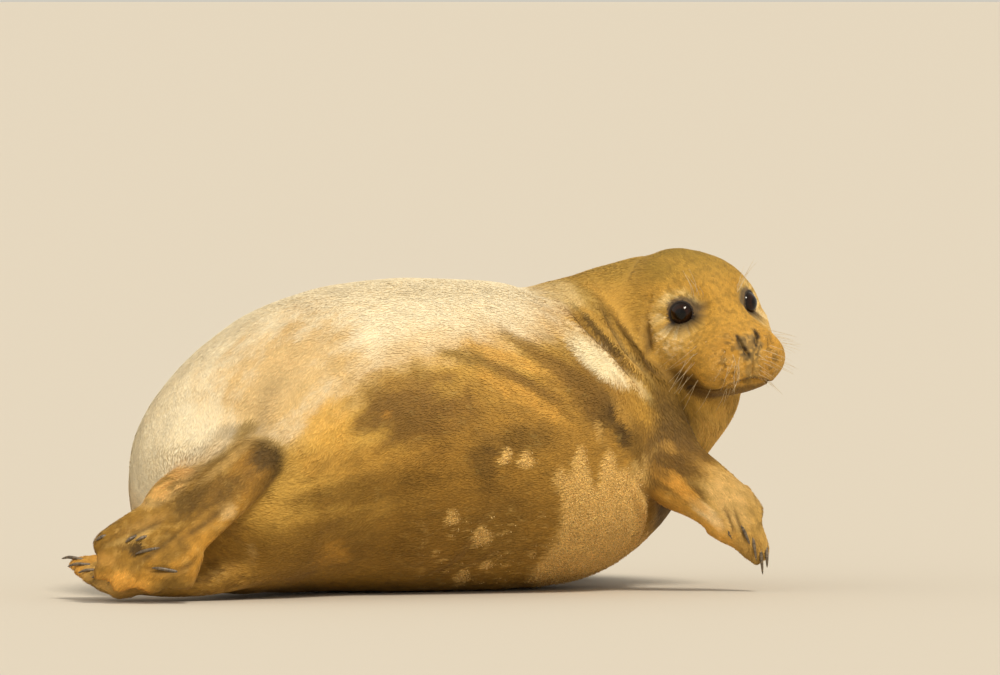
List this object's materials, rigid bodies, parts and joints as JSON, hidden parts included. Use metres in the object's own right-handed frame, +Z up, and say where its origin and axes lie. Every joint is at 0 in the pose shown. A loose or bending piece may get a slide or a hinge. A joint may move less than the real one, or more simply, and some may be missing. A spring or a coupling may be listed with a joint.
{
  "type": "grey seal, still life-size model",
  "caption": "Life-size still model of a young grey seal lying on its belly, head turned back over its shoulder.",
  "frame": {"origin": "on the floor, at the middle of the flat patch of the belly that the seal lies on", "axes": "+X from the rump towards the chest, -Y to the side that the face turns to, +Z up"},
  "size_m": [1.004, 0.9163, 0.4691],
  "materials": {
    "body_coat": "short dense fur, cream to brown",
    "face_coat": "short dense fur, golden tan",
    "limb_coat": "short dense fur, brown",
    "eye": "wet and glossy",
    "claw": "dark horn, half matte"
  },
  "bodies": {
    "root": {"hindquarters": "body_coat", "belly": "body_coat", "chest": "body_coat", "neck": "body_coat", "head": "face_coat", "tail": "limb_coat", "fore_flipper_right": "limb_coat", "fore_flipper_left": "limb_coat", "hind_flipper_right": "limb_coat", "hind_flipper_left": "limb_coat", "eye_right": "eye", "eye_left": "eye", "claw_fore_right_1": "claw", "claw_fore_right_2": "claw", "claw_fore_right_3": "claw", "claw_fore_right_4": "claw", "claw_fore_right_5": "claw", "claw_fore_left_1": "claw", "claw_fore_left_2": "claw", "claw_fore_left_3": "claw", "claw_fore_left_4": "claw", "claw_fore_left_5": "claw", "claw_hind_right_1": "claw", "claw_hind_right_2": "claw", "claw_hind_right_3": "claw", "claw_hind_right_4": "claw", "claw_hind_right_5": "claw", "claw_hind_left_1": "claw", "claw_hind_left_2": "claw", "claw_hind_left_3": "claw", "claw_hind_left_4": "claw", "claw_hind_left_5": "claw"}
  },
  "joints": []
}
